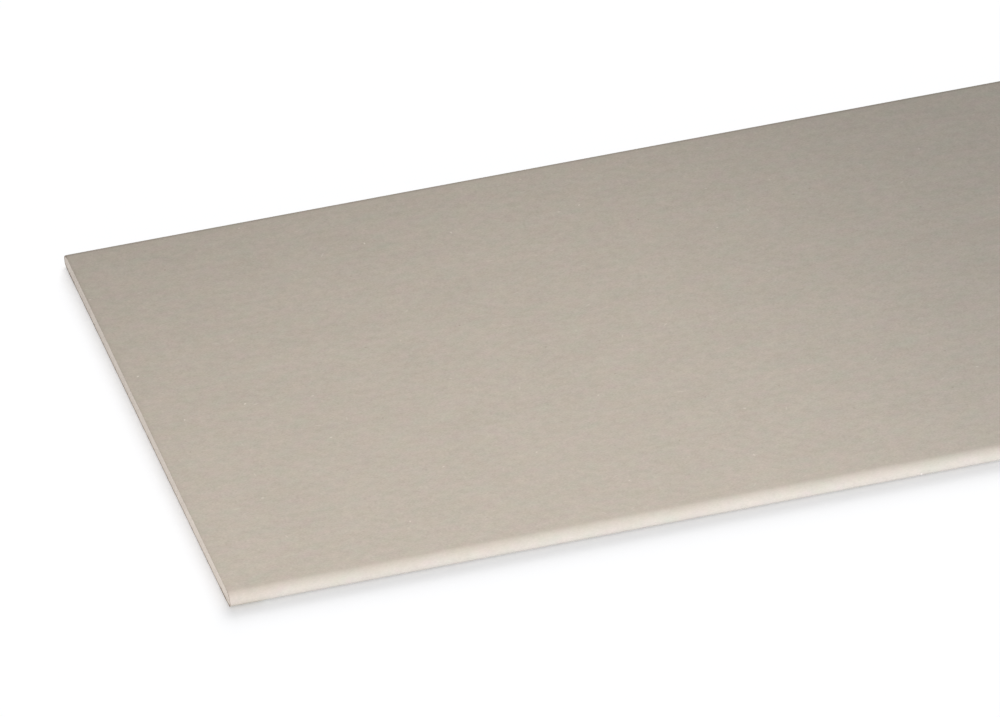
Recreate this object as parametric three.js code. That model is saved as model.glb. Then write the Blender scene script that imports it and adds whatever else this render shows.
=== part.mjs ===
// A gypsum ceiling board: a gypsum core between two papers, with rounded long edges.
// Millimetres, +Z up. The board lies face up. X runs along the long edges and Y across the board,
// and the origin is the middle of the back, where the board lies on the floor or against the joists.
import * as THREE from "three";

// Driving dimensions.
const BOARD_LENGTH = 2000; // between the cut ends
const BOARD_WIDTH = 400; // between the long edges
const BOARD_THICKNESS = 9.5; // from the back paper to the face paper
const FACE_PAPER_THICKNESS = 0.5;
const BACK_PAPER_THICKNESS = 0.4;
const NOSE_HEIGHT = 4; // height of the outermost line of a long edge
const FACE_ROUND_WIDTH = 7; // how far the rounding of an edge reaches in over the face
const BACK_ROUND_WIDTH = 5; // how far it reaches in under the back
const LAP_WIDTH = 25; // face paper folded under the back, measured from the long edge
const BACK_PAPER_MARGIN = 10; // strip along each long edge that the back paper leaves bare
const ROUND_STEPS = 16; // facets in each quarter of the rounding

const HALF_WIDTH = BOARD_WIDTH / 2;
const LAP_BOTTOM = BACK_PAPER_THICKNESS; // the folded face paper lies on the back paper
const LAP_TOP = LAP_BOTTOM + FACE_PAPER_THICKNESS;

const facePaperMaterial = new THREE.MeshStandardMaterial({ color: 0xbab2a4, roughness: 0.9, metalness: 0 });
const backPaperMaterial = new THREE.MeshStandardMaterial({ color: 0xa89f92, roughness: 0.95, metalness: 0 });
const gypsumMaterial = new THREE.MeshStandardMaterial({ color: 0xdcd6ca, roughness: 1, metalness: 0 });

// Points (y, z) of a quarter ellipse, from one angle to the other.
function quarterEllipse(centreY, centreZ, halfWidth, halfHeight, fromAngle, toAngle) {
  return Array.from({ length: ROUND_STEPS + 1 }, (_, step) => {
    const angle = THREE.MathUtils.lerp(fromAngle, toAngle, step / ROUND_STEPS);
    return new THREE.Vector2(centreY + halfWidth * Math.cos(angle), centreZ + halfHeight * Math.sin(angle));
  });
}

// The rounded long edge at +Y, from the back up to the face. An inset of 0 gives the outside of the
// face paper, and an inset of the paper's thickness gives the gypsum under it.
function roundedEdge(inset) {
  const underNose = quarterEllipse(
    HALF_WIDTH - BACK_ROUND_WIDTH,
    NOSE_HEIGHT,
    BACK_ROUND_WIDTH - inset,
    NOSE_HEIGHT - LAP_BOTTOM - inset,
    -Math.PI / 2,
    0,
  );
  const overNose = quarterEllipse(
    HALF_WIDTH - FACE_ROUND_WIDTH,
    NOSE_HEIGHT,
    FACE_ROUND_WIDTH - inset,
    BOARD_THICKNESS - NOSE_HEIGHT - inset,
    0,
    Math.PI / 2,
  );
  return [...underNose, ...overNose.slice(1)];
}

// The same line on the other long edge, from the face down to the back.
function mirrored(points) {
  return points.map((point) => new THREE.Vector2(-point.x, point.y)).reverse();
}

const PAPER_OUTSIDE = roundedEdge(0);
const GYPSUM_OUTSIDE = roundedEdge(FACE_PAPER_THICKNESS);
const LAP_END_Y = HALF_WIDTH - LAP_WIDTH;

// The gypsum fills the folded face paper, and its back stands down between the two laps.
function coreSection() {
  return new THREE.Shape([
    new THREE.Vector2(-LAP_END_Y, LAP_BOTTOM),
    new THREE.Vector2(LAP_END_Y, LAP_BOTTOM),
    new THREE.Vector2(LAP_END_Y, LAP_TOP),
    ...GYPSUM_OUTSIDE,
    ...mirrored(GYPSUM_OUTSIDE),
    new THREE.Vector2(-LAP_END_Y, LAP_TOP),
  ]);
}

// The face paper covers the face, goes round both long edges and laps under the back.
function facePaperSection() {
  return new THREE.Shape([
    new THREE.Vector2(LAP_END_Y, LAP_BOTTOM),
    ...PAPER_OUTSIDE,
    ...mirrored(PAPER_OUTSIDE),
    new THREE.Vector2(-LAP_END_Y, LAP_BOTTOM),
    new THREE.Vector2(-LAP_END_Y, LAP_TOP),
    ...mirrored(GYPSUM_OUTSIDE).reverse(),
    ...[...GYPSUM_OUTSIDE].reverse(),
    new THREE.Vector2(LAP_END_Y, LAP_TOP),
  ]);
}

// The back paper is a flat sheet glued to the gypsum and over both laps.
function backPaperSection() {
  const halfSheet = HALF_WIDTH - BACK_PAPER_MARGIN;
  return new THREE.Shape([
    new THREE.Vector2(-halfSheet, 0),
    new THREE.Vector2(halfSheet, 0),
    new THREE.Vector2(halfSheet, BACK_PAPER_THICKNESS),
    new THREE.Vector2(-halfSheet, BACK_PAPER_THICKNESS),
  ]);
}

// Runs a section in the YZ plane along X, from cut end to cut end.
function alongBoard(name, section, material) {
  const geometry = new THREE.ExtrudeGeometry(section, { depth: BOARD_LENGTH, bevelEnabled: false });
  geometry.applyMatrix4(
    new THREE.Matrix4().makeBasis(
      new THREE.Vector3(0, 1, 0),
      new THREE.Vector3(0, 0, 1),
      new THREE.Vector3(1, 0, 0),
    ),
  );
  const mesh = new THREE.Mesh(geometry, material);
  mesh.name = name;
  mesh.position.x = -BOARD_LENGTH / 2;
  return mesh;
}

const board = new THREE.Group();
board.name = "gypsum_ceiling_board";
board.add(
  alongBoard("gypsum_core", coreSection(), gypsumMaterial),
  alongBoard("face_paper", facePaperSection(), facePaperMaterial),
  alongBoard("back_paper", backPaperSection(), backPaperMaterial),
);

export default board;
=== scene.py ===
"""A gypsum ceiling board lying face up on a white studio floor.

Lengths are in metres unless a name says otherwise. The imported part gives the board's sizes, and the
values below are those of its finish, the floor, the lights and the camera.
"""
import math

import bpy
import numpy as np
from mathutils import Matrix, Vector, noise


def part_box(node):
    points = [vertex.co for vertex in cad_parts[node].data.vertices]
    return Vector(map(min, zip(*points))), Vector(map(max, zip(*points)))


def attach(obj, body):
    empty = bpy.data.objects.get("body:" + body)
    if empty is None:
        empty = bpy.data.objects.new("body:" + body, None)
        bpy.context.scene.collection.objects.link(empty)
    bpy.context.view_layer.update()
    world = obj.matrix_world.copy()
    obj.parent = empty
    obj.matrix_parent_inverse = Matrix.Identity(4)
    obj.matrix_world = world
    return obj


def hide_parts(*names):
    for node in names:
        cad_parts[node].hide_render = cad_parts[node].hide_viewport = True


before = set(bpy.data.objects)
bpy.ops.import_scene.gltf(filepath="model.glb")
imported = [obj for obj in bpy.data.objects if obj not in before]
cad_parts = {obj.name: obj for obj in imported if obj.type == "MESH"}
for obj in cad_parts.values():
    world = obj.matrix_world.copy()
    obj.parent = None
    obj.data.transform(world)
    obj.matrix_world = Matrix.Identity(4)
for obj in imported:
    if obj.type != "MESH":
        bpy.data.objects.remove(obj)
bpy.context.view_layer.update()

MM_PER_METRE = 1000.0

# A distance too small to see, which tells two places apart
TINY = 1e-6

# Section of the board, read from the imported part
FACE_LOW, FACE_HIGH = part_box("face_paper")
CORE_LOW, CORE_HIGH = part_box("gypsum_core")
BACK_LOW, BACK_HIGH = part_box("back_paper")
HALF_LENGTH = FACE_HIGH[0]
HALF_WIDTH = FACE_HIGH[1]
FACE_TOP = FACE_HIGH[2]
LAP_BOTTOM = FACE_LOW[2]
FACE_PAPER_THICKNESS = FACE_HIGH[2] - CORE_HIGH[2]

# Camera: long lens, looking down along the board from its front left corner
FRAME_WIDTH_PX = 1000
FOCAL_PX = 20000
SENSOR_WIDTH_MM = 36
CAMERA_AZIMUTH = math.radians(13.587)
CAMERA_ELEVATION = math.radians(33.0)
CAMERA_ROLL = math.radians(-3.158)
CAMERA_DISTANCE = 12.048
AIM_FROM_CORNER = Vector((0.2199, 0.1963, FACE_TOP))

# Shape of the sheets' meshes
ROW_SPACING = 0.008
END_ROWS = (0.0, 0.0003, 0.0007, 0.0013, 0.0025, 0.005)
CRUSH_DEPTH = 0.00028
CRUSH_REACH = 0.0016
FACE_COLUMNS = 80
LAP_COLUMNS = 5
UNDER_NOSE_COLUMNS = 10
OVER_NOSE_COLUMNS = 22
FACE_WAVE_DEPTH = 0.00008
FACE_WAVE_LENGTH = 0.045
FACE_WAVE_NARROWING = 1.4
CUT_RAGGEDNESS = 0.00025
CUT_RAG_LENGTH = 0.004

# Shape of the gypsum's cut ends: the mesh's spacing, how far they lie in, and their pores
PORE_CELL = 0.0005
CORE_NOSE_COLUMNS = 30
CUT_RECESS = 0.00008
CUT_ROUGHNESS = 0.00012
CUT_ROUGHNESS_SIZE = 0.0012
PORE_DEPTH = 0.0005
PORE_SIZE = 0.0011
PORE_EDGE = 0.45
PORE_PATCH_SIZE = 0.004

# Parts of a cloud's range that are spread over its whole effect
CLOUD_MIDDLE = (0.35, 0.65)
CLOUD_SPAN = (0.3, 0.7)

# Factors on the paper's tone at the two ends of its unevenness, from its largest patches to its grain
PATCH_SHADES = (0.98, 1.02)
PULP_SHADES = (1.05, 0.95)
GRAIN_SHADES = (0.918, 1.082)

# How much of the unevenness is left where the paper is drawn tight round the long edges, and how far
# inside and outside the face's flat part it changes
TIGHT_SHARE = 0.55
TIGHT_FROM = 0.003
TIGHT_TO = 0.002

# Strengths of the paper's warm tint and of its pale fibres, pale chips and dark specks
WARMTH_SHARE = 0.5
FIBRE_SHARE = 0.25
CHIP_SHARE = 0.6
SPECK_SHARE = 0.35

# Where a fleck begins to show and where it is full, in its own half lengths
FLECK_EDGE = (1.3, 0.6)

# Surface of the paper and of the cut gypsum
PAPER_ROUGHNESS = (0.86, 0.96)
PAPER_BUMP_DEPTH = 0.00012
PAPER_BUMP_SHARE = 0.45
GYPSUM_BUMP_DEPTH = 0.0002
GYPSUM_BUMP_SHARE = 0.7

# Darkest and lightest sRGB colour of the sawn paper, where it is brown, its darkness partly painted
# shade, and where it is dusty
SAWN_BROWN_AND_SHADE = ((112, 94, 79), (140, 122, 106))
SAWN_DUSTY = ((179, 168, 154), (198, 189, 177))

# Heights between which the sawn paper turns from brown, partly painted shade, to dusty, and over how
# much of the face's flat part, from its edge inward, the dust grows
DUST_FROM = 0.0078
DUST_TO = 0.0088
DUST_INSET = 0.004

# The cut gypsum's sRGB colours, with the strength and the range of what is laid over the fresh one
GYPSUM_FRESH = (219, 210, 200)
GYPSUM_AGED = (208, 198, 188)
AGE_SHARE = 0.6
GYPSUM_POWDER = (229, 222, 215)
POWDER_RANGE = (0.5, 0.75)
POWDER_SHARE = 0.4
# Painted shade in the air bubbles' hollows: its colour, range and strength
GYPSUM_BUBBLE_SHADE = (171, 160, 147)
BUBBLE_SHADE_RANGE = (0.28, 0.12)
BUBBLE_SHADE_SHARE = 0.55
BUBBLES_PER_MM = 0.9
# Brown laid beside the paper, partly stain and partly painted shade
GYPSUM_STAIN_AND_SHADE = (132, 113, 97)

# How deep the brown beside the paper, partly stain and partly painted shade, reaches into the cut
# gypsum, how strongly from the nose's height up to the face, and how strongly over the first stretch of
# the rounding
STAIN_AND_SHADE_DEPTH = 0.0013
STAIN_AND_SHADE_UPWARD = (0.42, 0.0)
STAIN_AND_SHADE_OUTWARD = (0.0, 0.85)
STAIN_AND_SHADE_RISE = 0.003


def section_corners(node):
    """The (y, z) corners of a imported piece's section."""
    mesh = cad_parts[node].data
    return {(round(vertex.co.y, 6), round(vertex.co.z, 6)) for vertex in mesh.vertices}


FACE_CORNERS = section_corners("face_paper")
NOSE_HEIGHT = max(FACE_CORNERS)[1]
FACE_FLAT_HALF = max(y for y, z in FACE_CORNERS if abs(z - FACE_TOP) < TINY)
BACK_FLAT_HALF = max(y for y, z in FACE_CORNERS if abs(z - LAP_BOTTOM) < TINY)
LAP_END = min(abs(y) for y, z in FACE_CORNERS if abs(z - LAP_BOTTOM) < TINY)


def quarter_ellipse(centre, radii, angles):
    """Points (y, z) of an ellipse at the given angles."""
    return [(centre[0] + radii[0] * math.cos(a), centre[1] + radii[1] * math.sin(a)) for a in angles]


def rounded_edge(inset):
    """The long edge at +Y from the lap's end to the face, moved in from the paper's outside."""
    lap = [(y, LAP_BOTTOM + inset) for y in np.linspace(LAP_END, BACK_FLAT_HALF, LAP_COLUMNS)]
    under = quarter_ellipse(
        (BACK_FLAT_HALF, NOSE_HEIGHT),
        (HALF_WIDTH - BACK_FLAT_HALF - inset, NOSE_HEIGHT - LAP_BOTTOM - inset),
        np.linspace(-math.pi / 2, 0, UNDER_NOSE_COLUMNS),
    )
    over = quarter_ellipse(
        (FACE_FLAT_HALF, NOSE_HEIGHT),
        (HALF_WIDTH - FACE_FLAT_HALF - inset, FACE_TOP - NOSE_HEIGHT - inset),
        np.linspace(0, math.pi / 2, OVER_NOSE_COLUMNS),
    )
    return lap + under[1:] + over[1:]


def wrapped_path(inset):
    """The face paper's section from lap to lap, over the face."""
    edge = rounded_edge(inset)
    flat = [(y, FACE_TOP - inset) for y in np.linspace(FACE_FLAT_HALF, -FACE_FLAT_HALF, FACE_COLUMNS)]
    other_edge = [(-y, z) for y, z in reversed(edge)]
    return edge + flat[1:-1] + other_edge


def row_positions():
    """Places along X: close together at the cut ends, evenly spaced between them."""
    last = END_ROWS[-1]
    middle_rows = round(2 * (HALF_LENGTH - last) / ROW_SPACING)
    middle = np.linspace(-HALF_LENGTH + last, HALF_LENGTH - last, middle_rows + 1)
    left = [-HALF_LENGTH + step for step in END_ROWS[:-1]]
    right = [HALF_LENGTH - step for step in reversed(END_ROWS[:-1])]
    return [*left, *middle, *right]


def new_piece(name, vertices, faces, materials, node):
    """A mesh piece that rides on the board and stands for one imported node."""
    mesh = bpy.data.meshes.new(name)
    mesh.from_pydata(vertices, [], faces)
    mesh.validate()
    for material in materials:
        mesh.materials.append(material)
    mesh.polygons.foreach_set("use_smooth", [True] * len(mesh.polygons))
    piece = bpy.data.objects.new(name, mesh)
    bpy.context.scene.collection.objects.link(piece)
    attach(piece, "root")
    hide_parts(node)
    return piece


def noise_share(place):
    """Smooth noise from 0 to 1 at a place."""
    return 0.5 + 0.5 * noise.noise(place)


def cut_offset(y, z):
    """How far a paper's cut edge falls short of the board's end."""
    return CUT_RAGGEDNESS * noise_share(Vector((y, z, 0.0)) / CUT_RAG_LENGTH)


def crush(x, z):
    """How far the face is pressed down beside a sawn end, less and less down the rounded edges."""
    from_end = HALF_LENGTH - abs(x)
    rise = max(0.0, (z - NOSE_HEIGHT) / (FACE_TOP - NOSE_HEIGHT))
    return CRUSH_DEPTH * rise * max(0.0, 1.0 - from_end / CRUSH_REACH) ** 2


def sheet_vertices(path, rows, wave_depth):
    """A path repeated at each row, with ragged ends and a faint wave in from the surface."""
    vertices = []
    for row, x in enumerate(rows):
        at_end = row in (0, len(rows) - 1)
        for y, z in path:
            along = x - math.copysign(cut_offset(y, z), x) if at_end else x
            place = Vector((along, y * FACE_WAVE_NARROWING, 0.0)) / FACE_WAVE_LENGTH
            wave = wave_depth * noise_share(place) if z > NOSE_HEIGHT else 0.0
            pressed = crush(along, z) if wave_depth else 0.0
            vertices.append((along, y, z - wave - pressed))
    return vertices


def unroll(piece, path, row_count, thickness):
    """Stores each point's place on the flat sheet: along, across and into the paper."""
    steps = [math.dist(here, there) for here, there in zip(path, path[1:])]
    across = np.concatenate([[0.0], np.cumsum(steps)])
    across -= across[-1] / 2
    points = piece.data.vertices
    places = np.zeros((len(points), 3))
    places[:, 0] = [point.co.x for point in points]
    places[:, 1] = np.tile(across, len(points) // len(path))
    places[row_count * len(path):, 2] = thickness
    unrolled = piece.data.attributes.new("unrolled", "FLOAT_VECTOR", "POINT")
    unrolled.data.foreach_set("vector", places.ravel())


def build_sheet(name, outer_path, inner_path, wave_depth, materials, node):
    """A closed sheet of paper along the board. Its inside has no rows between the ends."""
    rows = row_positions()
    width = len(outer_path)
    last = len(rows) - 1
    vertices = sheet_vertices(outer_path, rows, wave_depth)
    inner_start = len(vertices)
    vertices += sheet_vertices(inner_path, [rows[0], rows[-1]], 0.0)

    def outer(row, column):
        return row * width + column

    def inner(end, column):
        return inner_start + end * width + column

    surface = [
        (outer(r, c), outer(r, c + 1), outer(r + 1, c + 1), outer(r + 1, c))
        for r in range(last)
        for c in range(width - 1)
    ]
    inside = [(inner(0, c), inner(1, c), inner(1, c + 1), inner(0, c + 1)) for c in range(width - 1)]
    left_cut = [(outer(0, c), inner(0, c), inner(0, c + 1), outer(0, c + 1)) for c in range(width - 1)]
    right_cut = [
        (outer(last, c), outer(last, c + 1), inner(1, c + 1), inner(1, c)) for c in range(width - 1)
    ]
    # The two long edges of the sheet, each one face with a corner at every row
    first_side = [(*(outer(r, 0) for r in range(last + 1)), inner(1, 0), inner(0, 0))]
    far = width - 1
    second_side = [(*(outer(r, far) for r in range(last, -1, -1)), inner(0, far), inner(1, far))]
    faces = surface + inside + left_cut + right_cut + first_side + second_side
    piece = new_piece(name, vertices, faces, materials, node)
    unroll(piece, outer_path, len(rows), math.dist(outer_path[0], inner_path[0]))
    cut_faces = range(len(surface) + len(inside), len(faces))
    for index in cut_faces:
        piece.data.polygons[index].material_index = 1
        piece.data.polygons[index].use_smooth = False
    return piece


# Material helpers
def new_material(name):
    """A material with its node tree and its one shader."""
    material = bpy.data.materials.new(name)
    material.use_nodes = True
    shader = material.node_tree.nodes["Principled BSDF"]
    return material, material.node_tree, shader


def add_node(tree, kind, inputs=None, **settings):
    """A node with its settings, and with each input either linked or set to a value."""
    new = tree.nodes.new(kind)
    for key, value in settings.items():
        setattr(new, key, value)
    for key, value in (inputs or {}).items():
        if isinstance(value, bpy.types.NodeSocket):
            tree.links.new(value, new.inputs[key])
        else:
            new.inputs[key].default_value = value
    return new


def millimetres(tree, along=1.0, on_paper=True):
    """Places in millimetres, on the unrolled paper or in space, divided by a factor along the board."""
    if on_paper:
        place = add_node(tree, "ShaderNodeAttribute", attribute_name="unrolled").outputs["Vector"]
    else:
        place = add_node(tree, "ShaderNodeTexCoord").outputs["Object"]
    scale = (MM_PER_METRE / along, MM_PER_METRE, MM_PER_METRE)
    return add_node(tree, "ShaderNodeMapping", {"Vector": place, "Scale": scale}).outputs["Vector"]


def cloud(tree, size_mm, detail=3.0, along=1.0, on_paper=True, roughness=0.55):
    """Smooth noise from 0 to 1 with patches of about this size, and longer along the board."""
    place = millimetres(tree, along, on_paper)
    return add_node(
        tree,
        "ShaderNodeTexNoise",
        {"Vector": place, "Scale": 1.0 / size_mm, "Detail": detail, "Roughness": roughness},
    ).outputs["Fac"]


def math_node(tree, operation, *values):
    """One arithmetic step."""
    return add_node(
        tree, "ShaderNodeMath", dict(enumerate(values)), operation=operation
    ).outputs[0]


def remap(tree, value, low, high, to_low=0.0, to_high=1.0):
    """A value moved from one range to another, and held inside it."""
    return add_node(
        tree,
        "ShaderNodeMapRange",
        {"Value": value, "From Min": low, "From Max": high, "To Min": to_low, "To Max": to_high},
    ).outputs["Result"]


def tint(tree, below, amount, above):
    """Mixes one colour over another by an amount."""
    mix = add_node(tree, "ShaderNodeMix", data_type="RGBA")
    for socket, value in ((mix.inputs[0], amount), (mix.inputs[6], below), (mix.inputs[7], above)):
        if isinstance(value, bpy.types.NodeSocket):
            tree.links.new(value, socket)
        else:
            socket.default_value = value
    return mix.outputs[2]


def shade(tree, tone, factor):
    """A colour made lighter or darker by a factor."""
    return add_node(
        tree, "ShaderNodeVectorMath", {0: tone, "Scale": factor}, operation="SCALE"
    ).outputs[0]


def calmer(tree, value, share):
    """A value from 0 to 1 with only a share of its distance from the middle left."""
    distance = math_node(tree, "SUBTRACT", value, 0.5)
    return math_node(tree, "ADD", math_node(tree, "MULTIPLY", distance, share), 0.5)


def add_bump(tree, shader, height, depth, share):
    """Gives a material's surface fine bumps from a height between 0 and 1."""
    bump = add_node(tree, "ShaderNodeBump", {"Height": height, "Distance": depth, "Strength": share})
    tree.links.new(bump.outputs["Normal"], shader.inputs["Normal"])


def section_place(tree):
    """A point's distance from the board's middle line, and its height."""
    place = add_node(tree, "ShaderNodeTexCoord").outputs["Object"]
    parts = add_node(tree, "ShaderNodeSeparateXYZ", {0: place})
    return math_node(tree, "ABSOLUTE", parts.outputs["Y"]), parts.outputs["Z"]


def colour(red, green, blue):
    """An sRGB colour from 0 to 255 as the shader's linear colour."""
    parts = [part / 255 for part in (red, green, blue)]
    linear = [part / 12.92 if part <= 0.04045 else ((part + 0.055) / 1.055) ** 2.4 for part in parts]
    return (*linear, 1.0)


def flecks(tree, cell_mm, length_mm, width_mm, share):
    """Short strokes in random directions, some strong and some faint, and 0 elsewhere."""
    place = millimetres(tree)
    flat = add_node(tree, "ShaderNodeVectorMath", {0: place, 1: (1.0, 1.0, 0.0)}, operation="MULTIPLY")
    cells = add_node(
        tree,
        "ShaderNodeTexVoronoi",
        {"Vector": flat.outputs[0], "Scale": 1.0 / cell_mm, "Randomness": 1.0},
        voronoi_dimensions="2D",
    )
    apart = add_node(
        tree,
        "ShaderNodeVectorMath",
        {0: flat.outputs[0], 1: cells.outputs["Position"]},
        operation="SUBTRACT",
    )
    chance = add_node(tree, "ShaderNodeSeparateColor", {0: cells.outputs["Color"]})
    angle = math_node(tree, "MULTIPLY", chance.outputs[0], math.pi)
    turned = add_node(
        tree,
        "ShaderNodeVectorRotate",
        {"Vector": apart.outputs[0], "Angle": angle},
        rotation_type="Z_AXIS",
    )
    scaled = add_node(
        tree,
        "ShaderNodeVectorMath",
        {0: turned.outputs[0], 1: (2.0 / length_mm, 2.0 / width_mm, 0.0)},
        operation="MULTIPLY",
    )
    reach = add_node(tree, "ShaderNodeVectorMath", {0: scaled.outputs[0]}, operation="LENGTH")
    stroke = remap(tree, reach.outputs["Value"], *FLECK_EDGE)
    strength = remap(tree, chance.outputs[1], share, 0.0)
    return math_node(tree, "MULTIPLY", stroke, strength)


def paper_material(name, green, rosy, warm, fleck, speck):
    """Recycled liner paper: uneven grey-beige pulp with a few pale fibres and dark specks."""
    material, tree, shader = new_material(name)
    hue = cloud(tree, size_mm=12.0, detail=4.0, along=1.4, roughness=0.75)
    warmth = cloud(tree, size_mm=12.0, detail=4.0, along=1.2)
    patches = cloud(tree, size_mm=24.0, detail=2.0, along=1.6)
    across, _ = section_place(tree)
    share = remap(tree, across, FACE_FLAT_HALF - TIGHT_FROM, FACE_FLAT_HALF + TIGHT_TO, 1.0, TIGHT_SHARE)
    pulp = calmer(tree, cloud(tree, size_mm=4.5, detail=4.0, along=1.4), share)
    grain = calmer(tree, cloud(tree, size_mm=0.75, detail=2.0, along=2.2), share)
    tone = tint(tree, green, remap(tree, hue, *CLOUD_MIDDLE), rosy)
    tone = tint(tree, tone, remap(tree, warmth, *CLOUD_MIDDLE, 0.0, WARMTH_SHARE), warm)
    tone = shade(tree, tone, remap(tree, patches, *CLOUD_SPAN, *PATCH_SHADES))
    tone = shade(tree, tone, remap(tree, pulp, *CLOUD_SPAN, *PULP_SHADES))
    tone = shade(tree, tone, remap(tree, grain, *CLOUD_SPAN, *GRAIN_SHADES))
    fibres = flecks(tree, cell_mm=36.0, length_mm=4.0, width_mm=0.8, share=0.6)
    chips = flecks(tree, cell_mm=50.0, length_mm=1.8, width_mm=1.0, share=0.5)
    specks = flecks(tree, cell_mm=40.0, length_mm=1.5, width_mm=1.1, share=0.5)
    tone = tint(tree, tone, math_node(tree, "MULTIPLY", fibres, FIBRE_SHARE), fleck)
    tone = tint(tree, tone, math_node(tree, "MULTIPLY", chips, CHIP_SHARE), fleck)
    tone = tint(tree, tone, math_node(tree, "MULTIPLY", specks, SPECK_SHARE), speck)
    tree.links.new(tone, shader.inputs["Base Color"])
    add_bump(tree, shader, math_node(tree, "ADD", pulp, grain), PAPER_BUMP_DEPTH, PAPER_BUMP_SHARE)
    tree.links.new(remap(tree, pulp, *CLOUD_SPAN, *PAPER_ROUGHNESS), shader.inputs["Roughness"])
    shader.inputs["Specular IOR Level"].default_value = 0.25
    return material


def cut_paper_material():
    """The sawn edge of the paper: dusty along the flat face, and brown round the edges and below, that
    brown partly painted shade.
    """
    material, tree, shader = new_material("cut_paper")
    across, height = section_place(tree)
    fray = remap(tree, cloud(tree, size_mm=0.7), *CLOUD_MIDDLE)
    on_face = remap(tree, across, FACE_FLAT_HALF, FACE_FLAT_HALF - DUST_INSET)
    dust = math_node(tree, "MULTIPLY", on_face, remap(tree, height, DUST_FROM, DUST_TO))
    # The brown is partly painted shade, darkest along the bottom edge
    brown_and_shade = tint(tree, colour(*SAWN_BROWN_AND_SHADE[0]), fray, colour(*SAWN_BROWN_AND_SHADE[1]))
    dusty = tint(tree, colour(*SAWN_DUSTY[0]), fray, colour(*SAWN_DUSTY[1]))
    tree.links.new(tint(tree, brown_and_shade, dust, dusty), shader.inputs["Base Color"])
    shader.inputs["Roughness"].default_value = 0.95
    shader.inputs["Specular IOR Level"].default_value = 0.2
    return material


def gypsum_material():
    """Cut gypsum: off-white and chalky, with saw dust, painted shade in air bubbles, and brown beside
    the paper that is partly stain and partly painted shade.
    """
    material, tree, shader = new_material("gypsum")
    patches = cloud(tree, size_mm=14.0, on_paper=False)
    powder = cloud(tree, size_mm=0.6, detail=4.0, on_paper=False)
    place = millimetres(tree, on_paper=False)
    bubbles = add_node(
        tree, "ShaderNodeTexVoronoi", {"Vector": place, "Scale": BUBBLES_PER_MM, "Randomness": 1.0}
    ).outputs["Distance"]
    aged = remap(tree, patches, *CLOUD_MIDDLE, 0.0, AGE_SHARE)
    dusted = remap(tree, powder, *POWDER_RANGE, 0.0, POWDER_SHARE)
    # Painted shade in the air bubbles
    bubble_shade = remap(tree, bubbles, *BUBBLE_SHADE_RANGE, 0.0, BUBBLE_SHADE_SHARE)
    tone = tint(tree, colour(*GYPSUM_FRESH), aged, colour(*GYPSUM_AGED))
    tone = tint(tree, tone, dusted, colour(*GYPSUM_POWDER))
    tone = tint(tree, tone, bubble_shade, colour(*GYPSUM_BUBBLE_SHADE))
    across, height = section_place(tree)
    # Darkening beside the paper, partly stain and partly painted shade
    depth = add_node(tree, "ShaderNodeAttribute", attribute_name="from_paper").outputs["Fac"]
    upward = remap(tree, height, NOSE_HEIGHT, FACE_TOP, *STAIN_AND_SHADE_UPWARD)
    outward = remap(tree, across, FACE_FLAT_HALF, FACE_FLAT_HALF + STAIN_AND_SHADE_RISE, *STAIN_AND_SHADE_OUTWARD)
    share = math_node(tree, "MAXIMUM", upward, outward)
    stain_and_shade = math_node(tree, "MULTIPLY", share, remap(tree, depth, STAIN_AND_SHADE_DEPTH, 0.0))
    tone = tint(tree, tone, stain_and_shade, colour(*GYPSUM_STAIN_AND_SHADE))
    tree.links.new(tone, shader.inputs["Base Color"])
    add_bump(tree, shader, powder, GYPSUM_BUMP_DEPTH, GYPSUM_BUMP_SHARE)
    shader.inputs["Roughness"].default_value = 0.97
    shader.inputs["Specular IOR Level"].default_value = 0.15
    return material


FACE_PAPER = paper_material(
    "face_paper",
    green=colour(172, 167, 153),
    rosy=colour(177, 165, 155),
    warm=colour(176, 166, 151),
    fleck=colour(222, 215, 203),
    speck=colour(118, 108, 98),
)
BACK_PAPER = paper_material(
    "back_paper",
    green=colour(158, 149, 133),
    rosy=colour(163, 148, 135),
    warm=colour(162, 149, 132),
    fleck=colour(205, 195, 178),
    speck=colour(104, 94, 82),
)
CUT_PAPER = cut_paper_material()
GYPSUM = gypsum_material()


def build_face_paper():
    """The paper over the face, round both long edges and under the back."""
    return build_sheet(
        "face_paper_skin",
        wrapped_path(0.0),
        wrapped_path(FACE_PAPER_THICKNESS),
        FACE_WAVE_DEPTH,
        [FACE_PAPER, CUT_PAPER],
        "face_paper",
    )


def build_back_paper():
    """The flat paper over the back."""
    across = np.linspace(BACK_LOW[1], BACK_HIGH[1], FACE_COLUMNS)
    return build_sheet(
        "back_paper_sheet",
        [(y, BACK_LOW[2]) for y in across],
        [(y, BACK_HIGH[2]) for y in across],
        0.0,
        [BACK_PAPER, CUT_PAPER],
        "back_paper",
    )


# The gypsum core
def core_heights(y):
    """Lowest and highest point of the gypsum at a distance y from the middle."""
    inset = FACE_PAPER_THICKNESS
    reach = abs(y)
    low = CORE_LOW[2] if reach < LAP_END else LAP_BOTTOM + inset
    high = CORE_HIGH[2]
    if reach > BACK_FLAT_HALF:
        share = min(1.0, (reach - BACK_FLAT_HALF) / (HALF_WIDTH - BACK_FLAT_HALF - inset))
        low = NOSE_HEIGHT - (NOSE_HEIGHT - LAP_BOTTOM - inset) * math.sqrt(1.0 - share * share)
    if reach > FACE_FLAT_HALF:
        share = min(1.0, (reach - FACE_FLAT_HALF) / (HALF_WIDTH - FACE_FLAT_HALF - inset))
        high = NOSE_HEIGHT + (FACE_TOP - NOSE_HEIGHT - inset) * math.sqrt(1.0 - share * share)
    return low, high


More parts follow.
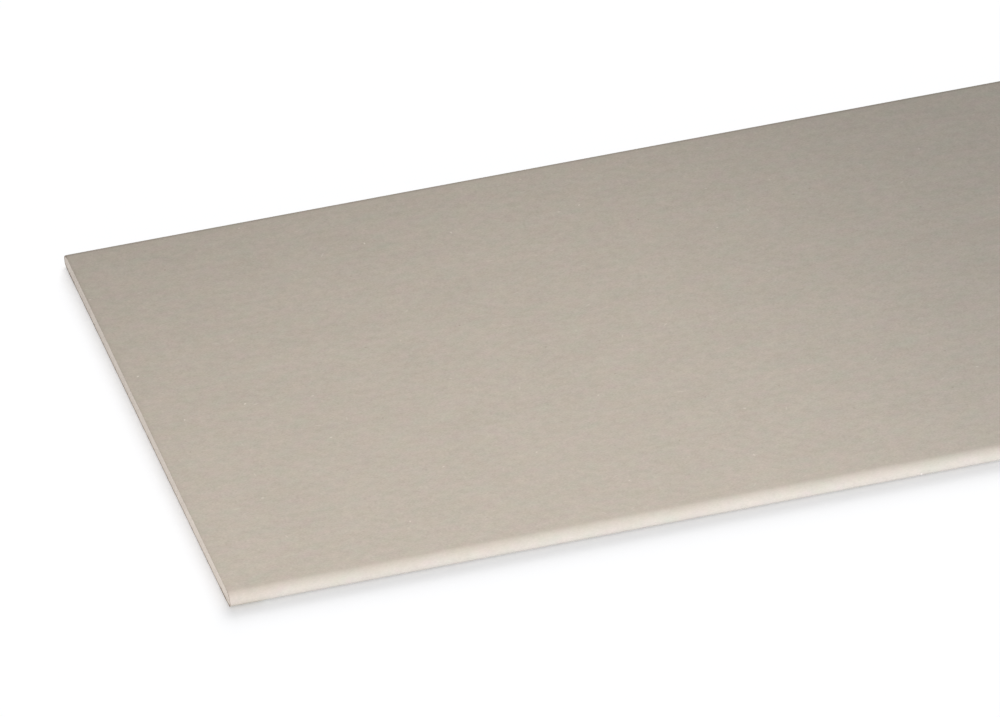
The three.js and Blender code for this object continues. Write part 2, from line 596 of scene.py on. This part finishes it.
def core_columns():
    """Places across the core: even over most of it, and closer together round each nose."""
    half = CORE_HIGH[1]
    count = round(2 * FACE_FLAT_HALF / PORE_CELL)
    flat = np.linspace(-FACE_FLAT_HALF, FACE_FLAT_HALF, count + 1)
    flat = flat[abs(abs(flat) - LAP_END) > PORE_CELL / 2]
    steps = [side * LAP_END * edge for side in (-1, 1) for edge in (1 - TINY, 1 + TINY)]
    turns = np.linspace(0, math.pi / 2, CORE_NOSE_COLUMNS + 1)[1:]
    nose = [FACE_FLAT_HALF + (half - FACE_FLAT_HALF) * math.sin(turn) for turn in turns]
    nose[-1] = half - TINY
    return sorted([*flat, *steps, *nose, *(-y for y in nose)])


def pore_depth(side, y, z):
    """How far the cut gypsum lies behind the board's end, at the left for side -1 or the right for 1."""
    place = Vector((y, z, side))
    rough = noise_share(place / CUT_ROUGHNESS_SIZE)
    gaps, _ = noise.voronoi(place / PORE_SIZE)
    porous = noise.noise(place / PORE_PATCH_SIZE) > 0.0
    pore = max(0.0, 1.0 - gaps[0] / PORE_EDGE) if porous else 0.0
    return CUT_RECESS + CUT_ROUGHNESS * rough + PORE_DEPTH * pore


def store_depth(piece, columns, heights):
    """Stores how far each point of the gypsum lies from the papers."""
    points = piece.data.vertices
    places = np.array([point.co[1:] for point in points])
    outline = np.array([(y, z) for y, edges in zip(columns, heights) for z in edges])
    depths = [np.hypot(*(outline - place).T).min() for place in places]
    from_paper = piece.data.attributes.new("from_paper", "FLOAT", "POINT")
    from_paper.data.foreach_set("value", depths)


def build_core():
    """The gypsum: a plain body between two finely meshed cut ends."""
    columns = core_columns()
    rows = round((CORE_HIGH[2] - CORE_LOW[2]) / PORE_CELL)
    heights = [core_heights(y) for y in columns]
    vertices = []
    for side in (-1, 1):
        for y, (low, high) in zip(columns, heights):
            for row in range(rows + 1):
                z = low + (high - low) * row / rows
                x = side * (HALF_LENGTH - pore_depth(side, y, z))
                vertices.append((x, y, z))
    per_end = len(columns) * (rows + 1)

    def at(end, column, row):
        return end * per_end + column * (rows + 1) + row

    faces = []
    last = len(columns) - 1
    for column in range(last):
        for row in range(rows):
            corners = [(column, row), (column + 1, row), (column + 1, row + 1), (column, row + 1)]
            faces.append([at(0, c, r) for c, r in reversed(corners)])
            faces.append([at(1, c, r) for c, r in corners])
        faces.append((at(0, column, 0), at(0, column + 1, 0), at(1, column + 1, 0), at(1, column, 0)))
        faces.append(
            (at(0, column, rows), at(1, column, rows), at(1, column + 1, rows), at(0, column + 1, rows))
        )
    for row in range(rows):
        faces.append((at(0, 0, row), at(1, 0, row), at(1, 0, row + 1), at(0, 0, row + 1)))
        faces.append((at(0, last, row), at(0, last, row + 1), at(1, last, row + 1), at(1, last, row)))
    piece = new_piece("gypsum_core_body", vertices, faces, [GYPSUM], "gypsum_core")
    store_depth(piece, columns, heights)
    return piece


board_pieces = [build_face_paper(), build_back_paper(), build_core()]


# Studio: lengths in metres, powers in watts
FLOOR_REACH = 40.0
FLOOR_BELOW = 1e-5
FLOOR_COLOUR = (0.85, 0.85, 0.86, 1.0)
FLOOR_GLOW = 0.325
FLOOR_GLOW_TONE = (0.98, 0.99, 1.0, 1.0)
SKY_STRENGTH = 0.45

# Light from behind, for the floor's shadow: where it comes from, its strength and its angle
SHADOW_LIGHTS = {
    "low_shadow_light": ((0.6, 1.94, 1.0), 1.15, 0.5),
    "high_shadow_light": ((0.6, 1.94, 1.5), 1.03, 0.85),
}

# A large softbox over each end of the board, given for the right end
OVERHEAD_SOFTBOX = {
    "place": (1.05, -0.422, 0.307),
    "target": (1.108, -0.433, 0.0),
    "size": (1.167, 1.167),
    "power": 2.61,
    "tone": (1.0, 0.94, 0.89),
}

# A small softbox low beside each end, towards the front, given for the right end
END_SOFTBOX = {
    "place": (1.35, -0.22, 0.05),
    "target": (1.0, -0.15, 0.005),
    "size": (0.08, 0.08),
    "power": 0.175,
    "tone": (1.0, 0.97, 0.94),
}

# A weaker softbox over the middle, out of the photograph's view
MIDDLE_SOFTBOX = {
    "place": (0.0, -0.422, 0.28),
    "target": (0.0, -0.433, 0.0),
    "size": (0.45, 1.0),
    "power": 0.7,
    "tone": (1.0, 0.94, 0.89),
}

# A long softbox along the front
FRONT_SOFTBOX = {
    "place": (0.0, -2.2, 0.7),
    "target": (0.0, -0.2, 0.0),
    "size": (3.0, 0.6),
    "power": 73.0,
    "tone": (0.82, 0.885, 1.0),
}

# A panel just above the floor that faces up along the front, starting a little under the board's edge
BOUNCE_DEPTH = 0.3
BOUNCE_UNDERLAP = 0.003
BOUNCE_HEIGHT = 0.0002
BOUNCE_INSET = 0.02
BOUNCE_MIDDLE = -HALF_WIDTH + BOUNCE_UNDERLAP - BOUNCE_DEPTH / 2
BOUNCE_PANEL = {
    "place": (0.0, BOUNCE_MIDDLE, BOUNCE_HEIGHT),
    "target": (0.0, BOUNCE_MIDDLE, 1.0),
    "size": (2 * (HALF_LENGTH - BOUNCE_INSET), BOUNCE_DEPTH),
    "power": 0.75,
    "tone": (0.55, 0.69, 1.0),
}


def link_mesh(name, vertices, faces, material):
    """A plain mesh of the studio, which isn't part of the board."""
    mesh = bpy.data.meshes.new(name)
    mesh.from_pydata(vertices, [], faces)
    mesh.materials.append(material)
    thing = bpy.data.objects.new(name, mesh)
    bpy.context.scene.collection.objects.link(thing)
    return thing


def build_floor():
    """A white floor with a faint glow of its own, so that it stays white past the lights."""
    material, _, shader = new_material("studio_floor")
    shader.inputs["Base Color"].default_value = FLOOR_COLOUR
    shader.inputs["Roughness"].default_value = 1.0
    shader.inputs["Specular IOR Level"].default_value = 0.0
    shader.inputs["Emission Color"].default_value = FLOOR_GLOW_TONE
    shader.inputs["Emission Strength"].default_value = FLOOR_GLOW
    level = BACK_LOW[2] - FLOOR_BELOW
    sides = ((-1, -1), (1, -1), (1, 1), (-1, 1))
    corners = [(x * FLOOR_REACH, y * FLOOR_REACH, level) for x, y in sides]
    return link_mesh("studio_floor", corners, [(0, 1, 2, 3)], material)


def build_world():
    """Even white light from all round."""
    world = bpy.data.worlds.new("studio")
    world.use_nodes = True
    background = world.node_tree.nodes["Background"]
    background.inputs["Color"].default_value = (1.0, 1.0, 1.0, 1.0)
    background.inputs["Strength"].default_value = SKY_STRENGTH
    bpy.context.scene.world = world


def receiver_group(name, things):
    """A collection that a lamp is limited to."""
    group = bpy.data.collections.new(name)
    for thing in things:
        group.objects.link(thing)
    return group


def add_lamp(light, place, target, receivers):
    """Puts a lamp in the scene, facing a point, for its receivers alone."""
    lamp = bpy.data.objects.new(light.name, light)
    lamp.location = place
    lamp.rotation_euler = (Vector(target) - Vector(place)).to_track_quat("-Z", "Y").to_euler()
    lamp.visible_camera = False
    lamp.light_linking.receiver_collection = receivers
    bpy.context.scene.collection.objects.link(lamp)


def add_softbox(name, softbox, receivers):
    """A rectangular area light."""
    light = bpy.data.lights.new(name, "AREA")
    light.shape = "RECTANGLE"
    light.size, light.size_y = softbox["size"]
    light.energy = softbox["power"]
    light.color = softbox["tone"]
    add_lamp(light, softbox["place"], softbox["target"], receivers)


def light_floor(receivers):
    """Soft light from behind for the floor alone, with the board's shadow at the front and the left."""
    for name, (place, strength, angle) in SHADOW_LIGHTS.items():
        light = bpy.data.lights.new(name, "SUN")
        light.energy = strength
        light.angle = angle
        add_lamp(light, place, (0.0, 0.0, 0.0), receivers)


def mirrored(softbox, side):
    """A softbox moved to the left end for side -1, or kept at the right end for side 1."""
    moved = {key: (side * softbox[key][0], *softbox[key][1:]) for key in ("place", "target")}
    return {**softbox, **moved}


def light_board(board):
    """Softboxes for the board alone: overhead, beside each end, along the front, and on the floor."""
    for name, side in (("left", -1), ("right", 1)):
        add_softbox(f"{name}_overhead_softbox", mirrored(OVERHEAD_SOFTBOX, side), board)
        add_softbox(f"{name}_end_softbox", mirrored(END_SOFTBOX, side), board)
    add_softbox("middle_overhead_softbox", MIDDLE_SOFTBOX, board)
    add_softbox("front_softbox", FRONT_SOFTBOX, board)
    add_softbox("bounce_panel", BOUNCE_PANEL, board)


def build_camera():
    """The photograph's view: along the board from its front left corner."""
    azimuth, elevation = CAMERA_AZIMUTH, CAMERA_ELEVATION
    forward = Vector(
        (
            math.sin(azimuth) * math.cos(elevation),
            math.cos(azimuth) * math.cos(elevation),
            -math.sin(elevation),
        )
    )
    right = Vector((math.cos(azimuth), -math.sin(azimuth), 0.0))
    up = right.cross(forward)
    turn = Matrix((right, up, -forward)).transposed() @ Matrix.Rotation(CAMERA_ROLL, 3, "Z")
    aim = Vector((-HALF_LENGTH, -HALF_WIDTH, 0.0)) + AIM_FROM_CORNER
    lens = bpy.data.cameras.new("camera")
    lens.sensor_width = SENSOR_WIDTH_MM
    lens.lens = SENSOR_WIDTH_MM * FOCAL_PX / FRAME_WIDTH_PX
    lens.clip_end = 4 * CAMERA_DISTANCE
    camera = bpy.data.objects.new("camera", lens)
    camera.matrix_world = Matrix.Translation(aim - forward * CAMERA_DISTANCE) @ turn.to_4x4()
    bpy.context.scene.collection.objects.link(camera)
    bpy.context.scene.camera = camera


floor = build_floor()
build_world()
light_floor(receiver_group("lit_floor", [floor]))
light_board(receiver_group("lit_board", board_pieces))
build_camera()
bpy.context.scene.view_settings.view_transform = "Standard"
